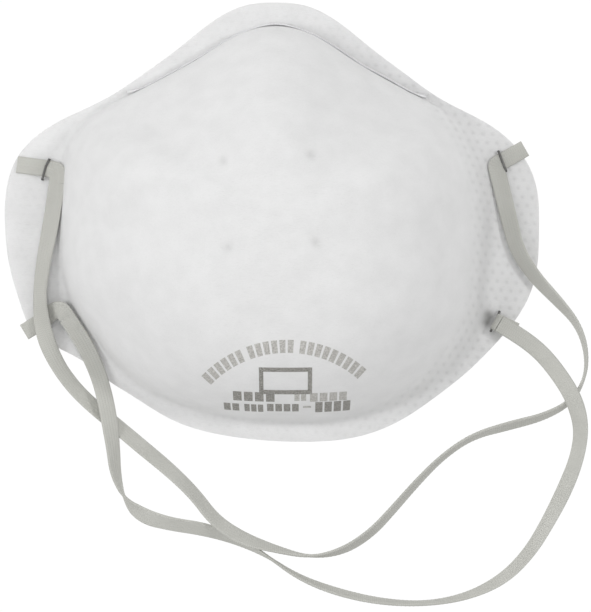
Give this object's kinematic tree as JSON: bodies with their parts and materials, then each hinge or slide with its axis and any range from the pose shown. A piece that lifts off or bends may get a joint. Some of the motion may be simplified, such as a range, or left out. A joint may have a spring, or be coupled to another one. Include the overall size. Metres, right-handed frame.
{
  "type": "disposable dust mask",
  "caption": "Moulded cup dust mask: a white domed filter shell on a flat pressed flange, a metal nose clip at the foot of the dome, and stapled flat elastic head straps lying loose beside it.",
  "frame": {"origin": "middle of the bounding box of the mask without its straps, on the plane of the flange's back", "axes": "+X across the mask, to the right as seen from the front; +Y from chin to nose; +Z out of the wearer's face, so the mask rests on its flange"},
  "size_m": [0.1562, 0.1611, 0.048],
  "materials": {
    "cover_web": "thermally bonded nonwoven, matt",
    "filter_web": "meltblown web, matt",
    "felt": "moulded needle felt, matt",
    "lining_web": "soft spunbond web, matt",
    "elastic": "flat woven elastic, matt",
    "clip_metal": "satin",
    "staple_steel": "satin galvanised wire",
    "foam": "soft open foam, matt"
  },
  "bodies": {
    "mask": {"moulded_shell": "felt", "outer_cover": "cover_web", "filter_layer": "filter_web", "inner_lining": "lining_web", "nose_clip": "clip_metal", "nose_foam": "foam", "strap_tab_upper_left": "elastic", "strap_tab_upper_right": "elastic", "strap_tab_lower_left": "elastic", "strap_tab_lower_right": "elastic", "staple_upper_left": "staple_steel", "staple_upper_right": "staple_steel", "staple_lower_left": "staple_steel", "staple_lower_right": "staple_steel"},
    "upper_strap": {"upper_strap": "elastic"},
    "lower_strap": {"lower_strap": "elastic"}
  },
  "joints": [
    {"name": "upper_strap_swing", "type": "hinge", "parent": "mask", "child": "upper_strap", "pos_m": [0, 0.0121, 0.0029], "axis": [-1, 0, 0], "range_deg": [0, 170], "deforming": ["upper_strap"]},
    {"name": "lower_strap_swing", "type": "hinge", "parent": "mask", "child": "lower_strap", "pos_m": [0, -0.0262, 0.0035], "axis": [-1, 0, 0], "range_deg": [0, 110], "deforming": ["lower_strap"]}
  ]
}
